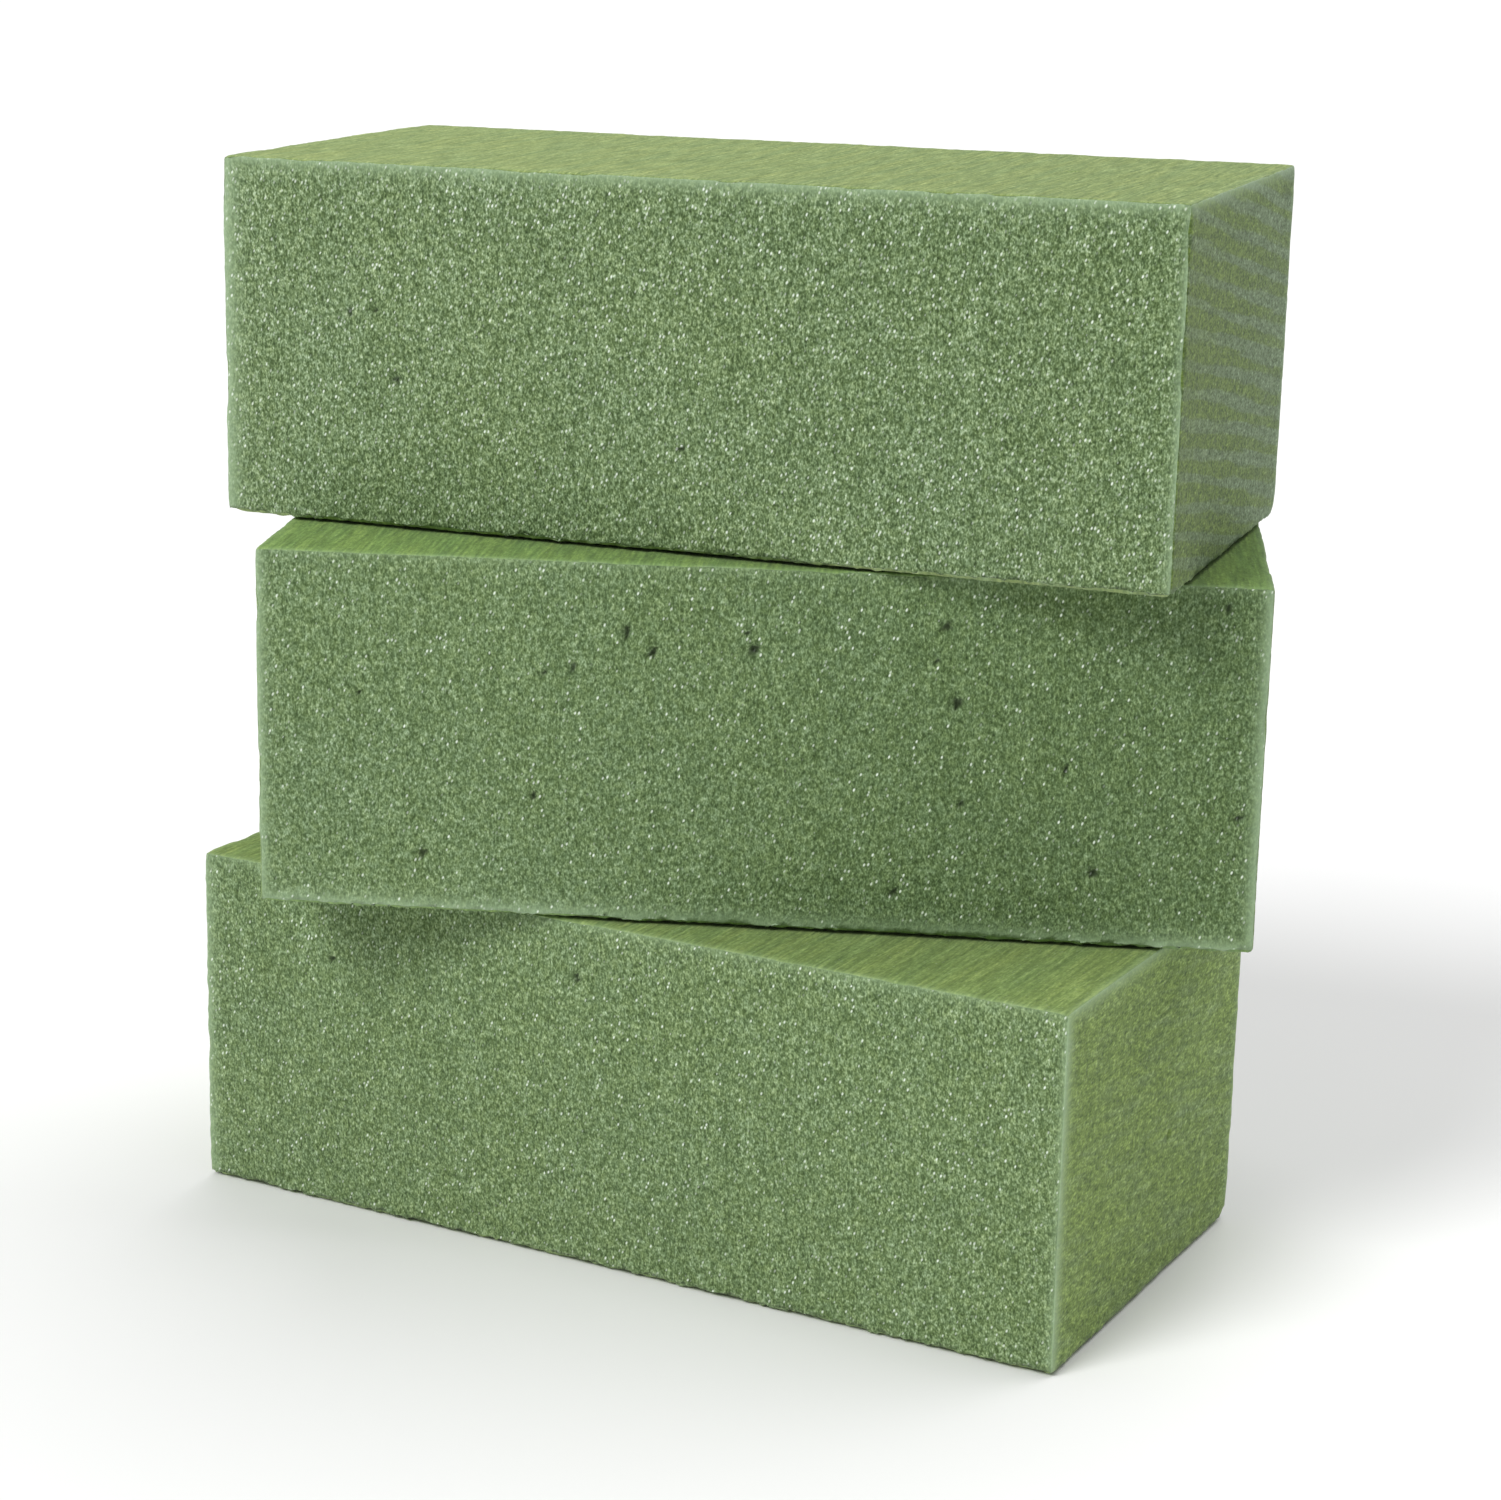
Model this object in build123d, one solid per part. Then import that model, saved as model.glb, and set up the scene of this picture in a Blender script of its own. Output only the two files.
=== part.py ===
"""A stack of loose floral foam bricks, each turned a little on the one below.

Frame: millimetres, +Z up. The origin is the centre of the bottom brick's underside, X runs along
its length and Y across it, towards the back.

Every brick is one block cut from a larger bun of foam, with the same length, width and height.
Nothing joins the bricks: each rests flat on the one below, held by its weight.
"""
from build123d import *
import os

BRICK_LENGTH = 230.0
BRICK_WIDTH = 110.0
BRICK_HEIGHT = 85.0
# Cut foam crumbles a little, so the edges along a brick and round its ends are slightly round.
EDGE_ROUND = 0.7
END_ROUND = 0.5
# The long edge low at the back keeps the rounder shape of the bun that the brick was cut from.
LOWER_BACK_ROUND = 6.0

# Where each brick lies, from the lowest up: its centre's place across the stack, and how far it is
# turned about the vertical, anticlockwise seen from above.
BOTTOM_PLACE = (0.0, 0.0)
BOTTOM_TURN_DEG = 0.0
MIDDLE_PLACE = (7.6, 11.6)
MIDDLE_TURN_DEG = 22.3
TOP_PLACE = (-1.2, 17.3)
TOP_TURN_DEG = 7.9

STACK = (
    ("bottom_brick", BOTTOM_PLACE, BOTTOM_TURN_DEG),
    ("middle_brick", MIDDLE_PLACE, MIDDLE_TURN_DEG),
    ("top_brick", TOP_PLACE, TOP_TURN_DEG),
)


def brick_section():
    """A brick's cross-section, drawn across its width and height with its underside on zero."""
    outline = Rectangle(BRICK_WIDTH, BRICK_HEIGHT, align=(Align.CENTER, Align.MIN))
    lower_back = (BRICK_WIDTH / 2, 0)
    other_corners = outline.vertices().sort_by_distance(lower_back)[1:]
    section = fillet(other_corners, radius=EDGE_ROUND)
    return fillet(section.vertices().sort_by_distance(lower_back)[0], radius=LOWER_BACK_ROUND)


def foam_brick():
    """One brick, lying flat with its underside on Z = 0 and its length along X."""
    block = extrude(Plane.YZ * brick_section(), amount=BRICK_LENGTH / 2, both=True)
    left_end, *_, right_end = block.faces().sort_by(Axis.X)
    return fillet(left_end.edges() + right_end.edges(), radius=END_ROUND)


def placed_brick(place, turn_deg, underside):
    """A brick turned about the vertical and set down at its level in the stack."""
    across, back = place
    return Pos(across, back, underside) * Rot(0, 0, turn_deg) * foam_brick()


os.makedirs("parts", exist_ok=True)
for level, (node, place, turn_deg) in enumerate(STACK):
    brick = placed_brick(place, turn_deg, level * BRICK_HEIGHT)
    export_step(brick, f"parts/{node}.step")
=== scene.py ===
"""A stack of three loose floral foam bricks: their cut, open-cell look, and the studio round them.

Everything is in metres in the CAD frame: +Z up, with the origin under the bottom brick's centre.
Each brick is a fine mesh of its own, built in the brick's own axes (X along its length, Y towards
its back, Z up from its underside) and roughened inwards from its CAD solid, never outwards.
"""
import math

import bpy
import numpy as np
from mathutils import Matrix, Vector


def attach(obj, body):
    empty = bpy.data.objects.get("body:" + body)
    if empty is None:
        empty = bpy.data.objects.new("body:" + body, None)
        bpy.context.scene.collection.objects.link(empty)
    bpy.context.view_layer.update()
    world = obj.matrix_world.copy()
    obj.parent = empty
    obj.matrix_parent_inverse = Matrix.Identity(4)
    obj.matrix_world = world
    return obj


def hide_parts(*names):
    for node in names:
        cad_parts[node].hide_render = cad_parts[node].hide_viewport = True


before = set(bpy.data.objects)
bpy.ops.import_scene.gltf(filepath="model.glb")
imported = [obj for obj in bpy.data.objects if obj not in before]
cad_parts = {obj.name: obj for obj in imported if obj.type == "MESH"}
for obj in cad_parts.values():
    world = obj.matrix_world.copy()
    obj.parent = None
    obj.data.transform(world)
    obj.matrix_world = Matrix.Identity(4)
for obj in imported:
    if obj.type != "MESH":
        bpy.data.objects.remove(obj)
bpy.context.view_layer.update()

MM = 0.001

# --- The studio -----------------------------------------------------------------------------------

# Where the camera stands, and how it is turned: round the stack, down, and about its own line of
# sight, in degrees.
CAMERA_PLACE = Vector((0.3730, -0.6984, 0.3225))
CAMERA_AZIMUTH = 29.37
CAMERA_DIP = 14.71
CAMERA_ROLL = 0.865
LENS_MM = 81.26
SENSOR_MM = 36.0
NEAREST_SEEN, FARTHEST_SEEN = 0.05, 60.0
# The picture's middle is this share of its width to the right of the lens's axis.
FRAMING_SHIFT = 0.067

FLOOR_SIZE = 24.0
FLOOR_COLOUR = (0.88, 0.88, 0.88, 1.0)
FLOOR_ROUGHNESS, FLOOR_SHINE = 0.9, 0.1
SURROUND_STRENGTH = 0.33
# The two broad lights: how strong each is, and in degrees its height above the horizon, how far it
# is turned to the left of the camera, and how wide it looks.
LIGHTS = {
    "front_light": (2.05, 43.0, 49.0, 26.0),
    "back_light": (1.7, 66.0, 225.0, 55.0),
}


def make_camera():
    data = bpy.data.cameras.new("camera")
    data.lens = LENS_MM
    data.sensor_width = SENSOR_MM
    data.shift_x = FRAMING_SHIFT
    data.clip_start = NEAREST_SEEN
    data.clip_end = FARTHEST_SEEN
    camera = bpy.data.objects.new("camera", data)
    bpy.context.scene.collection.objects.link(camera)
    heading = Matrix.Rotation(math.radians(CAMERA_AZIMUTH), 4, "Z")
    dip = Matrix.Rotation(math.radians(90.0 - CAMERA_DIP), 4, "X")
    roll = Matrix.Rotation(math.radians(CAMERA_ROLL), 4, "Z")
    camera.matrix_world = Matrix.Translation(CAMERA_PLACE) @ heading @ dip @ roll
    bpy.context.scene.camera = camera


def make_floor():
    mesh = bpy.data.meshes.new("floor")
    half = FLOOR_SIZE / 2
    corners = [(-half, -half, 0), (half, -half, 0), (half, half, 0), (-half, half, 0)]
    mesh.from_pydata(corners, [], [(0, 1, 2, 3)])
    floor = bpy.data.objects.new("floor", mesh)
    bpy.context.scene.collection.objects.link(floor)
    material = bpy.data.materials.new("floor_paper")
    material.use_nodes = True
    shader = material.node_tree.nodes["Principled BSDF"]
    shader.inputs["Base Color"].default_value = FLOOR_COLOUR
    shader.inputs["Roughness"].default_value = FLOOR_ROUGHNESS
    shader.inputs["Specular IOR Level"].default_value = FLOOR_SHINE
    mesh.materials.append(material)


def make_lights():
    world = bpy.data.worlds.new("surround")
    world.use_nodes = True
    background = world.node_tree.nodes["Background"]
    background.inputs["Color"].default_value = (1.0, 1.0, 1.0, 1.0)
    background.inputs["Strength"].default_value = SURROUND_STRENGTH
    bpy.context.scene.world = world
    for name, (strength, height, turn_left, breadth) in LIGHTS.items():
        data = bpy.data.lights.new(name, "SUN")
        data.energy = strength
        data.angle = math.radians(breadth)
        light = bpy.data.objects.new(name, data)
        heading = Matrix.Rotation(math.radians(CAMERA_AZIMUTH - turn_left), 4, "Z")
        light.matrix_world = heading @ Matrix.Rotation(math.radians(90.0 - height), 4, "X")
        bpy.context.scene.collection.objects.link(light)


# --- The foam's shape -----------------------------------------------------------------------------

# The mesh's squares on the flat of a side, and its closer lines where the edge is rounded.
SQUARE = 1.1 * MM
EDGE_LINES = (0.0, 0.3 * MM, 0.7 * MM)
EDGE_BAND = 1.3 * MM
EDGE_ROUND = 0.7 * MM
LOWER_BACK_ROUND = 6.0 * MM
# How far a point strays along its side, as a share of a square, so that no lattice shows.
STRAY = 0.27

# How deep each kind of roughness reaches, and how wide its lumps are.
WAVE_DEPTH, WAVE_WIDTH = 0.22 * MM, 24.0 * MM
RIPPLE_DEPTH, RIPPLE_WIDTH = 0.12 * MM, 6.5 * MM
CELL_WIDTH = 1.5 * MM
SIDE_CELL_DEPTH, TOP_CELL_DEPTH, END_CELL_DEPTH = 0.26 * MM, 0.14 * MM, 0.14 * MM
PIT_DEPTH = 0.14 * MM
# Saw marks on the top and underside run from front to back.
SAW_DEPTH, SAW_PITCH = 0.05 * MM, 3.8 * MM
# How far the saw marks wander, in radians, and over what width.
SAW_SWAY, SAW_SWAY_WIDTH = 4.0, 18.0 * MM
# The least share of a pit's depth, kept on the smoother tops and ends.
SMOOTH_PIT_SHARE = 0.4
# Crumbled edges: how deep a crumb is missing, how long it is, and how far the wear reaches.
CRUMB_DEPTH, CRUMB_WIDTH, CRUMB_REACH = 0.5 * MM, 7.0 * MM, 2.2 * MM
# A crumb starts to be missing where its noise passes the first value, and is gone at the second.
CRUMB_START, CRUMB_FULL = 0.62, 0.95
FRAY_DEPTH, FRAY_WIDTH, FRAY_REACH = 0.26 * MM, 2.0 * MM, 1.3 * MM
CORNER_DEPTH, CORNER_REACH = 0.3 * MM, 2.5 * MM
# The lower edges are rubbed away unevenly, which leaves a dark gap between two bricks: how far
# they are raised, how wide the lumps are, and how far the wear reaches inwards and upwards.
RUB_DEPTH, RUB_WIDTH, RUB_REACH, RUB_HEIGHT = 2.0 * MM, 1.3 * MM, 2.2 * MM, 1.4 * MM


def grid_lines(length):
    """Where the mesh's lines cross one axis, with zero in the middle."""
    half = length / 2
    near = np.array(EDGE_LINES)
    squares = round((length - 2 * EDGE_BAND) / SQUARE)
    inner = np.linspace(-half + EDGE_BAND, half - EDGE_BAND, squares + 1)
    return np.concatenate([near - half, inner, half - near[::-1]])


def box_grid(size):
    """A box's surface as a closed grid: its points, and for each side its axis, end and squares."""
    lines = [grid_lines(length) for length in size]
    shape = [len(line) for line in lines]
    on_surface = np.zeros(shape, bool)
    for axis in range(3):
        for end in (0, -1):
            np.moveaxis(on_surface, axis, 0)[end] = True
    steps = np.argwhere(on_surface)
    points = np.stack([lines[axis][steps[:, axis]] for axis in range(3)], axis=1)
    index = np.full(shape, -1)
    index[on_surface] = np.arange(len(points))
    sides = []
    for axis in range(3):
        for end in (0, -1):
            plane = np.moveaxis(index, axis, 0)[end]
            squares = np.stack([plane[:-1, :-1], plane[1:, :-1], plane[1:, 1:], plane[:-1, 1:]], axis=-1)
            squares = squares.reshape(-1, 4)
            faces_out = (end == -1) != (axis == 1)
            sides.append((axis, end, squares if faces_out else squares[:, ::-1]))
    return points, sides


def stray(points, size, rng):
    """Moves each point a little along its own side, but not near an edge."""
    half = np.array(size) / 2
    free = np.abs(points) < half - EDGE_BAND - SQUARE / 2
    return points + free * rng.uniform(-STRAY, STRAY, points.shape) * SQUARE


def smooth_step(values, low, high):
    part = np.clip((values - low) / (high - low), 0, 1)
    return part * part * (3 - 2 * part)


def smooth_noise(points, width, rng):
    """Noise from 0 to 1 with lumps of about that width: random heights blended on a lattice."""
    scaled = (points - points.min(axis=0)) / width
    base = scaled.astype(int)
    part = smooth_step(scaled - base, 0, 1)
    heights = rng.random(base.max(axis=0) + 2)
    total = np.zeros(len(points))
    for corner in np.ndindex(2, 2, 2):
        weight = np.prod(np.where(corner, part, 1 - part), axis=1)
        total += weight * heights[tuple((base + corner).T)]
    return total


def rounded(points, size):
    """The box's points moved in to its rounded edges, with the rounder one low at the back."""
    half = np.array(size) / 2
    core = np.clip(points, EDGE_ROUND - half, half - EDGE_ROUND)
    out = points - core
    reach = np.linalg.norm(out, axis=1, keepdims=True)
    points = core + out / reach * EDGE_ROUND
    # Across the brick, the square corner low at the back becomes a quarter of a disc.
    centre = np.array([half[1] - LOWER_BACK_ROUND, LOWER_BACK_ROUND - half[2]])
    corner = (points[:, 1:] - centre) * (1, -1)
    inside = (corner > 0).all(axis=1)
    corner = corner[inside]
    corner *= corner.max(axis=1, keepdims=True) / np.linalg.norm(corner, axis=1, keepdims=True)
    points[inside, 1:] = centre + corner * (1, -1)
    return points


def edge_and_corner_distance(points, size):
    """How far each point of the box is from its nearest edge and its nearest corner."""
    to_sides = np.sort(np.array(size) / 2 - np.abs(points), axis=1)
    return to_sides[:, 1], np.hypot(to_sides[:, 1], to_sides[:, 2])


# Across a pore: a point's distance from its middle, as a share of the pore's radius, before and
# after the points are gathered onto its rim and floor.
PORE_SPREAD = (0, 0.55, 0.95, 1.0, 1.4, 1.5)
PORE_GATHERED = (0, 0.5, 0.7, 1.0, 1.08, 1.5)
PORE_FLOOR, PORE_RIM = 0.6, 1.0
PORE_MIDDLE = 1e-6

# Strewn pores: how far from an edge they keep, how wide they are, how much taller, and how deep.
PORE_MARGIN = 6 * MM
PORE_RADIUS = (0.55, 1.0)
PORE_HEIGHT_SHARE = (1.0, 1.5)
PORE_DEPTH = (0.7, 1.6)


def open_pores(points, size, pores):
    """Gathers points onto each pore's rim and floor. Gives the points and how deep each one sinks.

    A pore is (side, along, up, wide, tall, deep): which side it is on, as (axis, end), and its
    centre, measured on that side from its lowest corner, with its two radii and its depth.
    """
    half = np.array(size) / 2
    sunk = np.zeros(len(points))
    for (axis, end), along, up, wide, tall, deep in pores:
        across = [other for other in range(3) if other != axis]
        on_side = np.abs(points[:, axis] - (half[axis] if end else -half[axis])) < EDGE_ROUND / 4
        centre = np.array([along, up]) - half[across]
        offset = (points[:, across] - centre) / (wide, tall)
        distance = np.linalg.norm(offset, axis=1)
        near = on_side & (distance < PORE_SPREAD[-1]) & (distance > PORE_MIDDLE)
        ring = np.interp(distance[near], PORE_SPREAD, PORE_GATHERED)
        moved = centre + offset[near] / distance[near, None] * ring[:, None] * (wide, tall)
        points[np.ix_(np.flatnonzero(near), across)] = moved
        sunk[near] = np.maximum(sunk[near], deep * (1 - smooth_step(ring, PORE_FLOOR, PORE_RIM)))
        sunk[on_side & (distance <= PORE_MIDDLE)] = deep
    return sunk


def random_pores(size, counts, rng):
    """Pores strewn over the sides: counts gives how many for each side, by (axis, end)."""
    pores = []
    for side, count in counts.items():
        across = [size[other] for other in range(3) if other != side[0]]
        for _ in range(count):
            along, up = (rng.uniform(PORE_MARGIN, reach - PORE_MARGIN) for reach in across)
            wide = rng.uniform(*PORE_RADIUS) * MM
            tall = wide * rng.uniform(*PORE_HEIGHT_SHARE)
            pores.append((side, along, up, wide, tall, rng.uniform(*PORE_DEPTH) * MM))
    return pores


def relief(points, normals, size, rng):
    """How far the cut foam lies inside the smooth solid at each point."""
    top, end = normals[:, 2] ** 2, normals[:, 0] ** 2
    side = np.clip(1 - top - end, 0, 1)
    cells = side * SIDE_CELL_DEPTH + top * TOP_CELL_DEPTH + end * END_CELL_DEPTH
    depth = WAVE_DEPTH * smooth_noise(points, WAVE_WIDTH, rng)
    depth += RIPPLE_DEPTH * smooth_noise(points, RIPPLE_WIDTH, rng)
    depth += cells * smooth_noise(points, CELL_WIDTH, rng)
    depth += PIT_DEPTH * (SMOOTH_PIT_SHARE + (1 - SMOOTH_PIT_SHARE) * side) * rng.random(len(points))
    sway = SAW_SWAY * smooth_noise(points, SAW_SWAY_WIDTH, rng)
    ribs = np.sin(2 * math.pi * points[:, 0] / SAW_PITCH + sway)
    depth += SAW_DEPTH * top * (1 + ribs) / 2
    to_edge, to_corner = edge_and_corner_distance(points, size)
    crumbs = smooth_step(smooth_noise(points, CRUMB_WIDTH, rng), CRUMB_START, CRUMB_FULL)
    depth += CRUMB_DEPTH * crumbs * (1 - smooth_step(to_edge, 0, CRUMB_REACH))
    fray = smooth_noise(points, FRAY_WIDTH, rng) * (1 - smooth_step(to_edge, 0, FRAY_REACH))
    depth += FRAY_DEPTH * fray
    return depth + CORNER_DEPTH * (1 - smooth_step(to_corner, 0, CORNER_REACH))


def rubbed(points, size, rng):
    """How far each point near the lower edges is raised, where crumbs have rubbed off."""
    half = np.array(size) / 2
    inward = (half - np.abs(points))[:, :2].min(axis=1)
    low = 1 - smooth_step(points[:, 2] + half[2], 0, RUB_HEIGHT)
    outer = 1 - smooth_step(inward, 0, RUB_REACH)
    return RUB_DEPTH * smooth_noise(points, RUB_WIDTH, rng) * low * outer


# How pale each side grows towards each of its edges, and how far in millimetres that reaches, by
# the side and the side it meets. Edges that aren't named have the plain rim.
PLAIN_RIM = (0.8, 1.8)


def rim_paleness(points, size, rims):
    """How pale each point is from the crumbs rubbed into the nearest edges."""
    half = np.array(size) / 2
    sides = [(axis, end) for axis in range(3) for end in (0, -1)]
    inside = {
        (axis, end): half[axis] + (points[:, axis] if end == 0 else -points[:, axis])
        for axis, end in sides
    }
    pale = np.zeros(len(points))
    for side in sides:
        on_side = inside[side] < EDGE_ROUND / 4
        for other in sides:
            if other[0] != side[0]:
                strength, reach = rims.get((side, other), PLAIN_RIM)
                pale = np.maximum(pale, on_side * strength * np.exp(-inside[other] / (reach * MM)))
    return pale


# Where each side lies on the map that its colours are baked to, in millimetres: its corner, and
# whether it is turned a quarter. The gaps keep one side's colours out of the next.
MAP_SIDE = 372.0
MAP_PLACES = {
    (2, -1): (0, 0, False),
    (1, 0): (0, 112, False),
    (1, -1): (0, 199, False),
    (0, 0): (0, 286, False),
    (2, 0): (232, 0, True),
    (0, -1): (232, 232, False),
}


def side_map(points, size, axis, end, squares):
    """The bake map's coordinates for the corners of one side's squares."""
    across = [other for other in range(3) if other != axis]
    spots = (points[squares.ravel()][:, across] + np.array(size)[across] / 2) / MM
    left, low, turned = MAP_PLACES[axis, end]
    if turned:
        spots = spots[:, ::-1]
    return (spots + (left, low)) / MAP_SIDE


def node_placing(node):
    """A brick's size, and the matrix that places it, read from its CAD solid."""
    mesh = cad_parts[node].data
    corners = np.empty(len(mesh.vertices) * 3)
    mesh.vertices.foreach_get("co", corners)
    # The largest upright face is the front or the back.
    upright = [face for face in mesh.polygons if abs(face.normal.z) < 0.01]
    across = max(upright, key=lambda face: face.area).normal
    turn = math.atan2(across.y, across.x)
    turn = (turn + math.pi / 2) % math.pi if turn < 0 else (turn - math.pi / 2) % math.pi
    turn = turn - math.pi if turn > math.pi / 2 else turn
    axes = np.array(Matrix.Rotation(turn, 3, "Z"))
    in_brick = corners.reshape(-1, 3) @ axes
    low, high = in_brick.min(axis=0), in_brick.max(axis=0)
    place = Matrix.Translation(axes @ (low + high) / 2) @ Matrix.Rotation(turn, 4, "Z")
    return tuple(high - low), place


def write_attribute(mesh, name, kind, values):
    field = "vector" if kind == "FLOAT_VECTOR" else "value"
    mesh.attributes.new(name, kind, "POINT").data.foreach_set(field, np.ravel(values).astype("f4"))


def mesh_normals(mesh):
    normals = np.empty(len(mesh.vertices) * 3)
    mesh.vertex_normals.foreach_get("vector", normals)
    return normals.reshape(-1, 3)


def foam_brick(name, node, body, pores, pore_counts, rims, seed, material):
    """One brick of cut foam, in place of its CAD solid."""
    rng = np.random.default_rng(seed)
    size, place = node_placing(node)
    points, sides = box_grid(size)
    points = stray(points, size, rng)
    sunk = open_pores(points, size, pores + random_pores(size, pore_counts, rng))
    flat = points.copy()
    points = rounded(points, size)
    mesh = bpy.data.meshes.new(name)
    squares = np.concatenate([side[2] for side in sides])
    mesh.from_pydata(points, [], squares)
    normals = mesh_normals(mesh)
    depth = relief(flat, normals, size, rng)
    points = points - normals * (depth + sunk)[:, None]
    points[:, 2] += rubbed(flat, size, rng)
    mesh.vertices.foreach_set("co", points.ravel())
    spots = [side_map(flat, size, axis, end, quads) for axis, end, quads in sides]
    layer = mesh.uv_layers.new(name="OFBake")
    layer.uv.foreach_set("vector", np.concatenate(spots).ravel().astype("f4"))
    write_attribute(mesh, "foam_mm", "FLOAT_VECTOR", flat / MM)
    write_attribute(mesh, "top_side", "FLOAT", normals[:, 2] ** 2)
    write_attribute(mesh, "end_side", "FLOAT", normals[:, 0] ** 2)
    write_attribute(mesh, "hollow", "FLOAT", np.clip(sunk / MM, 0, 1))
    write_attribute(mesh, "rim", "FLOAT", rim_paleness(flat, size, rims))
    mesh.shade_smooth()
    mesh.update()
    mesh.materials.append(material)
    brick = bpy.data.objects.new(name, mesh)
    brick.matrix_world = place
    bpy.context.scene.collection.objects.link(brick)
    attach(brick, body)
    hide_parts(node)
    return brick


# --- The foam's look ------------------------------------------------------------------------------

# Colours are linear red, green and blue.
YELLOW_GREEN = (0.157, 0.232, 0.087, 1.0)
GREY_GREEN = (0.150, 0.228, 0.104, 1.0)
TOP_YELLOW = (0.236, 0.302, 0.096, 1.0)
TOP_SAGE = (0.190, 0.272, 0.098, 1.0)
END_OLIVE = (0.120, 0.180, 0.038, 1.0)
END_GREY = (0.146, 0.204, 0.122, 1.0)
# Painted shade inside the pores.
PAINTED_PORE_SHADE = (0.028, 0.045, 0.018, 1.0)
# Painted glints on the cell walls.
PAINTED_GLINT_WHITE = (0.84, 0.93, 0.80, 1.0)
RIM_PALE = (0.38, 0.52, 0.33, 1.0)
# How strongly red, green and blue each follow the grain, so that dark grain is a deeper green and
# bright grain is whiter.
SHADE_SHARES = (1.12, 0.95, 1.35)
# Painted shade darkens the colour over this far to each side of the brick's middle.
HALF_LENGTH = 115.0

# The long sides' colour: the width and share of its broad patches, and the width of its grains.
PATCH_WIDTH, PATCH_SHARE, DRIFT_WIDTH = 26.0, 0.5, 1.7
# The tops' colour is drawn out from front to back.
TOP_STRETCH, TOP_DRIFT_WIDTH = (1.0, 0.08, 1.0), 3.5
# Grain: how the cells are stretched, and the width and strength of its lumps and its holes, whose
# darkness is painted shade in the open cells.
CELL_STRETCH = (1.5, 0.46, 0.95)
COARSE_WIDTH, COARSE_STRENGTH = 1.0, 3.1
FINE_WIDTH, FINE_STRENGTH = 0.5, 1.8
HOLE_WIDTH, HOLE_STRENGTH = 1.7, 0.45
# How much of the grain is left on tops and ends, on tops again, and on the pale rims.
CUT_GRAIN, TOP_GRAIN, RIM_GRAIN = 0.62, 0.45, 0.55
# Upright streaks on the long sides.
STREAK_STRETCH, STREAK_WIDTH, STREAK_STRENGTH = (1.0, 1.0, 0.05), 2.4, 0.3
# Saw marks on the tops, drawn out from front to back.
MARK_STRETCH, MARK_WIDTH, MARK_STRENGTH, MARK_HEIGHT = (1.0, 0.06, 0.06), 0.8, 1.35, 0.7
# The pale rims: how much brighter they are, and how far they go over to their own colour.
RIM_BRIGHTNESS, RIM_FULL, RIM_COVER = 0.25, 1.5, 0.75
# Flecks, which are painted glints: how far they lean, in radians, their shape and width, and how high
# they stand.
FLECK_LEAN, FLECK_STRETCH, FLECK_WIDTH, FLECK_HEIGHT = -0.38, (1.5, 1.5, 0.85), 1.25, 0.4
CLUSTER_WIDTH, CLUSTER_LEAST, CUT_FLECKS = 8.0, 0.55, 0.15
PORE_COVER = 0.8
BUMP_STRENGTH, BUMP_HEIGHT = 0.6, 0.18 * MM
DULL, GLOSSY = 0.88, 0.38
SHINE, SHEEN, SHEEN_ROUGHNESS = 0.3, 0.1, 0.6

# The ends' bands: their pitch, how steeply they dip, and the width and size of their wander.
BAND_PITCH, BAND_DIP, WANDER_WIDTH, WANDER_SIZE = 6.3, 0.18, 5.0, 5.0
FIBRE_WIDTH, FIBRE_STRENGTH, FIBRE_DRAW = 1.3, 2.0, 0.08
HAZE_STRETCH, HAZE_WIDTH, HAZE_STRENGTH = (1.0, 0.6, 1.0), 10.0, 0.6
# Moves a pattern far enough for each brick and use to have its own.
PATTERN_STEP = (37.0, 53.0, 71.0)


class Wiring:
    """Adds nodes to a material. An input is a value or another node's output."""

    def __init__(self, name):
        self.material = bpy.data.materials.new(name)
        self.material.use_nodes = True
        self.tree = self.material.node_tree
        self.shader = self.tree.nodes["Principled BSDF"]

    def fill(self, node, inputs):
        for socket, value in inputs.items():
            if isinstance(value, bpy.types.NodeSocket):
                self.tree.links.new(value, node.inputs[socket])
            else:
                node.inputs[socket].default_value = value

    def add(self, kind, inputs, output=0, **settings):
        node = self.tree.nodes.new(kind)
        for setting, value in settings.items():
            setattr(node, setting, value)
        self.fill(node, inputs)
        return node.outputs[output]

    def attribute(self, name, output="Fac"):
        return self.add("ShaderNodeAttribute", {}, output, attribute_name=name)

    def math(self, operation, first, second=0.0):
        return self.add("ShaderNodeMath", {0: first, 1: second}, operation=operation)

    def ramp(self, value, low, high, start=0.0, stop=1.0):
        """A smooth step from start to stop, as the value goes from low to high."""
        inputs = {"Value": value, "From Min": low, "From Max": high, "To Min": start, "To Max": stop}
        return self.add("ShaderNodeMapRange", inputs, interpolation_type="SMOOTHSTEP")

    def mix(self, factor, first, second, blend="MIX"):
        inputs = {0: factor, 6: first, 7: second}
        return self.add("ShaderNodeMix", inputs, 2, data_type="RGBA", blend_type=blend)

    def noise(self, place, width, detail=2.0, roughness=0.5):
        inputs = {"Vector": place, "Scale": 1 / width, "Detail": detail, "Roughness": roughness}
        return self.add("ShaderNodeTexNoise", inputs)

    def centred(self, value):
        """A noise's value less its middle, so that it goes both ways from zero."""
        return self.math("SUBTRACT", value, 0.5)

    def stretch(self, place, scale, shift):
        """The place with each axis scaled, moved far enough off for a pattern of its own."""
        away = tuple(shift * step for step in PATTERN_STEP)
        return self.add("ShaderNodeMapping", {"Vector": place, "Scale": scale, "Location": away})

    def cells(self, place, width, output="Distance"):
        return self.add("ShaderNodeTexVoronoi", {"Vector": place, "Scale": 1 / width}, output)


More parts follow.
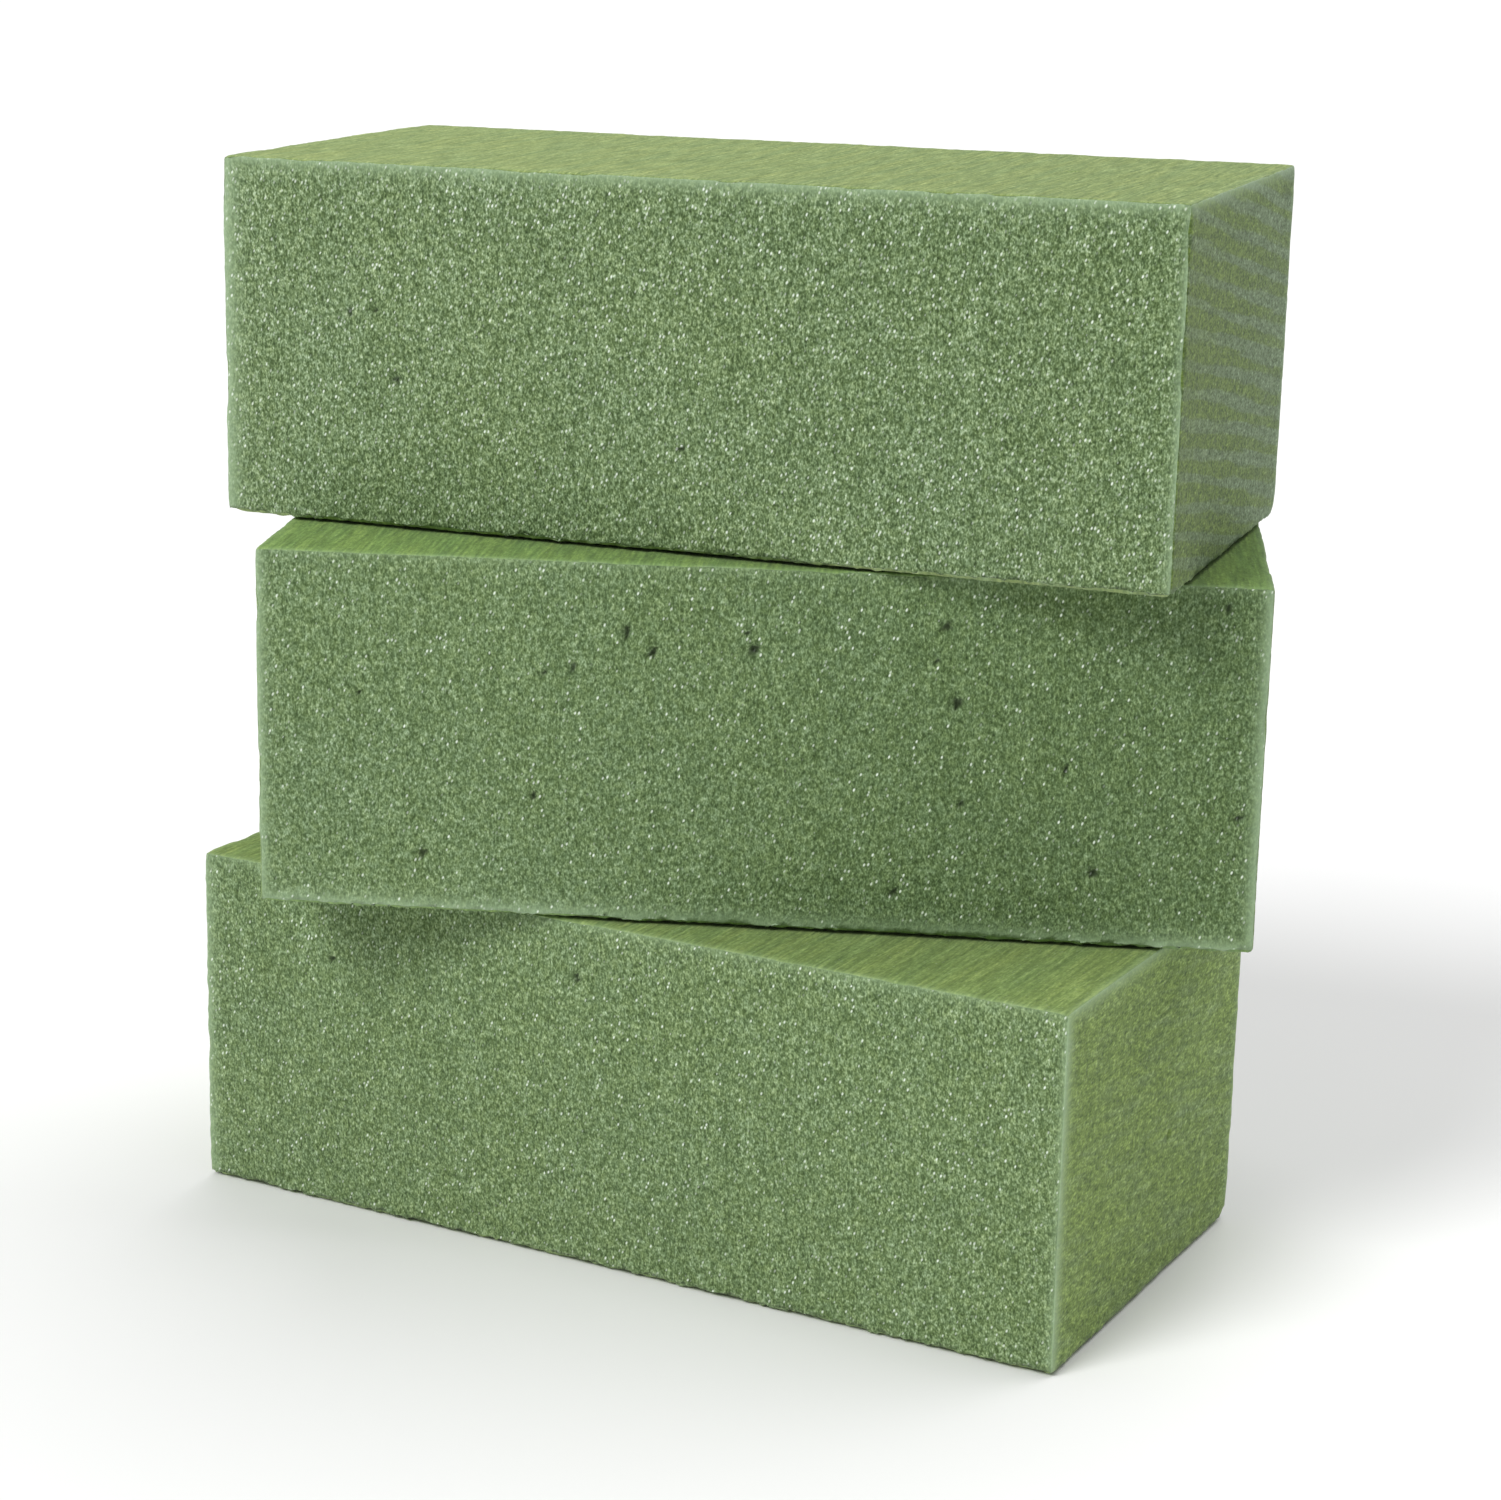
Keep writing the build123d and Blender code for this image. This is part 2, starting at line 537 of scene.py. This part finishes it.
def foam_material(name, seed, painted_glint_share, roughness, bands, painted_right_shade, side_tint, top_tint_and_shade, end_tint):
    """Cut foam. painted_glint_share is the share of cells painted with a white glint, roughness how
    deep the long sides' grain is, bands how strongly the ends are banded, and painted_right_shade how
    much painted shade darkens the foam from the middle to the right end. The tints are this brick's
    own, for its sides, top and ends; the top tint also paints the shade and green bounce light on a
    top that lies under another brick."""
    w = Wiring(name)
    spot = w.attribute("foam_mm", "Vector")
    place = w.stretch(spot, (1, 1, 1), seed)
    top = w.attribute("top_side")
    end = w.attribute("end_side")
    rim = w.attribute("rim")
    flat_cut = w.math("MAXIMUM", top, end)
    long_side = w.math("SUBTRACT", 1.0, flat_cut)

    # Colour drifts over the long sides, in broad patches and from grain to grain.
    broad = w.math("MULTIPLY", w.centred(w.noise(place, PATCH_WIDTH, 2.0)), PATCH_SHARE)
    broad = w.math("ADD", broad, w.noise(place, DRIFT_WIDTH, 1.0))
    colour = w.mix(w.ramp(broad, 0.1, 0.9), GREY_GREEN, YELLOW_GREEN)
    top_place = w.stretch(spot, TOP_STRETCH, seed + 60)
    top_drift = w.ramp(w.noise(top_place, TOP_DRIFT_WIDTH, 3.0), 0.2, 0.8)
    colour = w.mix(top, colour, w.mix(top_drift, TOP_YELLOW, TOP_SAGE))
    colour = w.mix(end, colour, end_colour(w, spot, seed, bands))

    # Grain: open cells, a little taller than they are wide on the long sides, and drawn out from
    # front to back where the saw cut the tops and ends, which are smoother too.
    tall = w.stretch(spot, CELL_STRETCH, seed)
    coarse = w.centred(w.noise(tall, COARSE_WIDTH, 1.0, 0.6))
    fine = w.centred(w.noise(tall, FINE_WIDTH, 1.0, 0.6))
    # The holes are painted shade in the open cells; in the bump they are real dents.
    hole_shade = w.ramp(w.cells(tall, HOLE_WIDTH), 0.10, 0.36, -1.0, 0.0)
    grain = w.math("MULTIPLY", coarse, COARSE_STRENGTH)
    grain = w.math("ADD", grain, w.math("MULTIPLY", fine, FINE_STRENGTH))
    grain = w.math("ADD", grain, w.math("MULTIPLY", hole_shade, HOLE_STRENGTH))
    grain = w.math("MULTIPLY", grain, w.ramp(flat_cut, 0.0, 1.0, roughness, CUT_GRAIN))
    grain = w.math("MULTIPLY", grain, w.ramp(top, 0.0, 1.0, 1.0, TOP_GRAIN))
    grain = w.math("MULTIPLY", grain, w.ramp(rim, 0.1, 0.8, 1.0, RIM_GRAIN))
    streaks = w.centred(w.noise(w.stretch(spot, STREAK_STRETCH, seed), STREAK_WIDTH, 2.0))
    streaks = w.math("MULTIPLY", streaks, STREAK_STRENGTH)
    shade = w.math("ADD", grain, w.math("MULTIPLY", streaks, long_side))

    # Fine saw marks across the top.
    marks = w.centred(w.noise(w.stretch(spot, MARK_STRETCH, seed), MARK_WIDTH, 1.0))
    marks = w.math("MULTIPLY", marks, top)
    shade = w.math("ADD", shade, w.math("MULTIPLY", marks, MARK_STRENGTH))
    shade = w.math("ADD", shade, w.math("MULTIPLY", rim, RIM_BRIGHTNESS))
    # Painted shade: the colour grows darker towards the right end, where the brick gets less light.
    along = w.add("ShaderNodeSeparateXYZ", {0: spot})
    shade = w.math("ADD", shade, w.ramp(along, -HALF_LENGTH, HALF_LENGTH, painted_right_shade, -painted_right_shade))
    grey = w.add("ShaderNodeCombineColor", {
        socket: w.math("EXPONENT", w.math("MULTIPLY", shade, share))
        for socket, share in enumerate(SHADE_SHARES)
    })
    # The top tint also paints shade and green bounce light on a top that lies under another brick.
    tint = w.mix(end, w.mix(top, (*side_tint, 1.0), (*top_tint_and_shade, 1.0)), (*end_tint, 1.0))
    colour = w.mix(1.0, w.mix(1.0, colour, grey, "MULTIPLY"), tint, "MULTIPLY")
    colour = w.mix(w.ramp(rim, 0.0, RIM_FULL, 0.0, RIM_COVER), colour, RIM_PALE)

    # Painted glints: cell walls that lie flat to the light would glint, and the glint is painted into
    # the colour as small white flecks that lean a little. Their lower roughness and their bump are real.
    leaning = w.add("ShaderNodeMapping", {"Vector": place, "Rotation": (0, FLECK_LEAN, 0)})
    leaning = w.stretch(leaning, FLECK_STRETCH, 1)
    near = w.ramp(w.cells(leaning, FLECK_WIDTH), 0.12, 0.40, 1.0, 0.0)
    chance = w.add("ShaderNodeSeparateColor", {0: w.cells(leaning, FLECK_WIDTH, "Color")})
    picked = w.ramp(chance, 1 - painted_glint_share, 1.0)
    cluster = w.ramp(w.noise(place, CLUSTER_WIDTH, 2.0), 0.30, 0.62, CLUSTER_LEAST, 1.0)
    glint_spot = w.math("MULTIPLY", w.math("MULTIPLY", near, picked), cluster)
    glint_spot = w.math("MULTIPLY", glint_spot, w.ramp(flat_cut, 0.0, 0.7, 1.0, CUT_FLECKS))
    colour = w.mix(glint_spot, colour, PAINTED_GLINT_WHITE)

    # Painted shade: pores are painted dark inside, where shade falls in the hollow.
    colour = w.mix(w.ramp(w.attribute("hollow"), 0.05, 1.0, 0.0, PORE_COVER), colour, PAINTED_PORE_SHADE)

    height = w.math("ADD", grain, w.math("MULTIPLY", marks, MARK_HEIGHT))
    height = w.math("ADD", height, w.math("MULTIPLY", glint_spot, FLECK_HEIGHT))
    bump = w.add("ShaderNodeBump", {
        "Strength": BUMP_STRENGTH,
        "Distance": BUMP_HEIGHT,
        "Height": height,
    })
    w.fill(w.shader, {
        "Base Color": colour,
        "Roughness": w.ramp(glint_spot, 0.1, 0.8, DULL, GLOSSY),
        "Normal": bump,
        "Specular IOR Level": SHINE,
        "Sheen Weight": SHEEN,
        "Sheen Roughness": SHEEN_ROUGHNESS,
    })
    return w.material


def end_colour(w, spot, seed, bands):
    """The ends' colour: streaks left by the saw, olive and grey in turn, that dip to the back."""
    parts = w.add("ShaderNodeSeparateXYZ", {0: spot})
    back, up = parts.node.outputs["Y"], parts.node.outputs["Z"]
    level = w.math("ADD", up, w.math("MULTIPLY", back, BAND_DIP))
    drawn_out = w.math("MULTIPLY", back, FIBRE_DRAW)
    along = w.add("ShaderNodeCombineXYZ", {0: float(seed), 1: drawn_out, 2: level})
    wander = w.math("MULTIPLY", w.noise(along, WANDER_WIDTH, 2.0), WANDER_SIZE)
    swing = w.math("SINE", w.math("ADD", w.math("MULTIPLY", level, 2 * math.pi / BAND_PITCH), wander))
    fibres = w.math("MULTIPLY", w.centred(w.noise(along, FIBRE_WIDTH, 2.0)), FIBRE_STRENGTH)
    banding = w.ramp(w.math("ADD", w.math("MULTIPLY", swing, 0.9 * bands), fibres), -0.7, 0.7)
    haze = w.centred(w.noise(w.stretch(spot, HAZE_STRETCH, seed + 30), HAZE_WIDTH, 2.0))
    fade = w.ramp(back, -60.0, 60.0, -0.25 * bands, 0.3 * bands)
    grey = w.math("ADD", w.math("MULTIPLY", banding, 0.2 + 0.65 * bands), fade)
    grey = w.math("ADD", grey, w.math("MULTIPLY", haze, HAZE_STRENGTH))
    return w.mix(w.ramp(grey, 0.0, 1.0), END_OLIVE, END_GREY)


# --- The stack ------------------------------------------------------------------------------------

FRONT, BACK = (1, 0), (1, -1)
LEFT_END, RIGHT_END = (0, 0), (0, -1)
UNDERSIDE, UPPER_SIDE = (2, 0), (2, -1)


def front_pores(spots):
    """Pores seen on a brick's front: how far along and how far up it each is, and its width."""
    return [(FRONT, along * MM, up * MM, wide / 2 * MM, 0.65 * wide * MM, 0.8 * wide * MM)
            for along, up, wide in spots]


# The pores on each front, in millimetres from its lower left corner.
MIDDLE_FRONT = (
    (86, 69, 2.4), (92, 64, 1.9), (115, 66, 2.2), (113, 70, 1.5), (74, 60, 1.4), (67, 59, 1.5),
    (24, 52, 1.7), (65, 29, 1.6), (39, 14, 1.6), (158, 73, 1.6), (156, 65, 1.4), (161, 55, 2.2),
    (163, 32, 1.5), (186, 41, 1.9), (220, 80, 1.6), (225, 32, 1.5), (193, 17, 1.7), (148, 11, 1.5),
)
BOTTOM_FRONT = ((38, 64, 1.6), (107, 71, 1.6))
TOP_FRONT = ((45, 35, 1.5), (116, 24, 1.4), (40, 51, 1.3), (33, 50, 1.3))

# The pale rims that differ from the plain one.
TOP_RIMS = {
    (FRONT, UPPER_SIDE): (1.15, 2.5),
    (FRONT, UNDERSIDE): (0.4, 0.8),
    (FRONT, LEFT_END): (1.35, 3.2),
    (FRONT, RIGHT_END): (1.35, 1.4),
    (RIGHT_END, FRONT): (0.1, 1.0),
    (RIGHT_END, UPPER_SIDE): (1.2, 2.4),
    (RIGHT_END, BACK): (1.0, 2.6),
    (UPPER_SIDE, FRONT): (0.2, 6.0),
    (UPPER_SIDE, RIGHT_END): (0.35, 2.5),
}
MIDDLE_RIMS = {
    (FRONT, UPPER_SIDE): (0.55, 2.0),
    (FRONT, UNDERSIDE): (1.5, 2.6),
    (FRONT, LEFT_END): (1.4, 1.9),
    (FRONT, RIGHT_END): (1.5, 2.0),
}
BOTTOM_RIMS = {
    (FRONT, UPPER_SIDE): (0.65, 2.2),
    (FRONT, UNDERSIDE): (0.4, 0.9),
    (FRONT, LEFT_END): (1.2, 2.2),
    (FRONT, RIGHT_END): (1.05, 1.4),
    (RIGHT_END, FRONT): (1.6, 2.8),
    (RIGHT_END, UPPER_SIDE): (1.3, 2.4),
    (RIGHT_END, BACK): (0.9, 2.4),
    (UPPER_SIDE, RIGHT_END): (0.8, 1.6),
}

make_camera()
make_floor()
make_lights()
bpy.context.scene.view_settings.view_transform = "Standard"

# The middle and bottom bricks' top tints paint the shade and green bounce light under the brick above;
# the middle and top bricks' right shade is painted shade.
foam_brick(
    "foam_bottom", "bottom_brick", "bottom", front_pores(BOTTOM_FRONT),
    {BACK: 6, LEFT_END: 2, RIGHT_END: 1, UPPER_SIDE: 8, UNDERSIDE: 6}, BOTTOM_RIMS, 11,
    foam_material("foam_bottom", 11, 0.28, 0.84, 0.15, 0.0,
                  (0.93, 0.95, 0.89), (0.85, 0.95, 0.68), (1.44, 1.48, 1.44)),
)
foam_brick(
    "foam_middle", "middle_brick", "middle", front_pores(MIDDLE_FRONT),
    {BACK: 14, LEFT_END: 4, RIGHT_END: 4, UPPER_SIDE: 6, UNDERSIDE: 8}, MIDDLE_RIMS, 12,
    foam_material("foam_middle", 12, 0.24, 0.78, 0.5, 0.15,
                  (0.83, 0.87, 0.81), (0.68, 0.88, 0.50), (1.1, 1.15, 1.05)),
)
foam_brick(
    "foam_top", "top_brick", "top", front_pores(TOP_FRONT),
    {BACK: 6, LEFT_END: 2, UPPER_SIDE: 3, UNDERSIDE: 6}, TOP_RIMS, 13,
    foam_material("foam_top", 13, 0.5, 0.93, 1.0, 0.06,
                  (0.94, 0.95, 0.94), (0.98, 1.0, 0.88), (0.95, 1.02, 0.82)),
)
